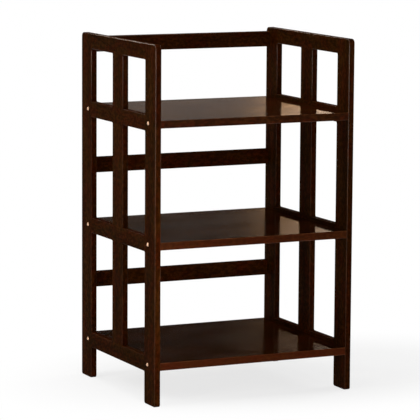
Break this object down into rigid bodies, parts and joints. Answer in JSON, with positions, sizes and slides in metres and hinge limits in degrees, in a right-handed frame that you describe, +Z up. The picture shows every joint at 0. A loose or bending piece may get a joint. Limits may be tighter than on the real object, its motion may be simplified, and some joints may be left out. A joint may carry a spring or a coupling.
{
  "type": "open bookcase",
  "caption": "Open espresso wood bookcase: slatted side frames, bolted shelves, brass domed bolt caps, and rails across an open back.",
  "frame": {"origin": "on the floor, in the middle of the footprint", "axes": "+Z up, +X to the viewer's right when facing the open front, -Y out of the front"},
  "size_m": [0.5968, 0.5, 0.965],
  "materials": {
    "espresso_frame": "satin espresso lacquer over fine straight grain",
    "espresso_shelf": "satin espresso lacquer, a little glossier on the shelf tops",
    "dowel_wood": "plain beech",
    "zinc_steel": "zinc plated",
    "brass_cap": "satin antique brass"
  },
  "bodies": {
    "root": {"right_front_post": "espresso_frame", "right_rear_post": "espresso_frame", "right_top_rail": "espresso_frame", "right_upper_rail": "espresso_frame", "right_middle_rail": "espresso_frame", "right_lower_rail": "espresso_frame", "right_upper_slat": "espresso_frame", "right_middle_slat": "espresso_frame", "right_lower_slat": "espresso_frame", "right_frame_dowels": "dowel_wood", "left_front_post": "espresso_frame", "left_rear_post": "espresso_frame", "left_top_rail": "espresso_frame", "left_upper_rail": "espresso_frame", "left_middle_rail": "espresso_frame", "left_lower_rail": "espresso_frame", "left_upper_slat": "espresso_frame", "left_middle_slat": "espresso_frame", "left_lower_slat": "espresso_frame", "left_frame_dowels": "dowel_wood", "upper_shelf": "espresso_shelf", "middle_shelf": "espresso_shelf", "lower_shelf": "espresso_shelf", "top_back_rail": "espresso_frame", "upper_back_rail": "espresso_frame", "lower_back_rail": "espresso_frame", "back_rail_dowels": "dowel_wood", "upper_shelf_bolts": "zinc_steel", "upper_barrel_nuts": "zinc_steel", "upper_bolt_caps": "brass_cap", "middle_shelf_bolts": "zinc_steel", "middle_barrel_nuts": "zinc_steel", "middle_bolt_caps": "brass_cap", "lower_shelf_bolts": "zinc_steel", "lower_barrel_nuts": "zinc_steel", "lower_bolt_caps": "brass_cap"}
  },
  "joints": []
}
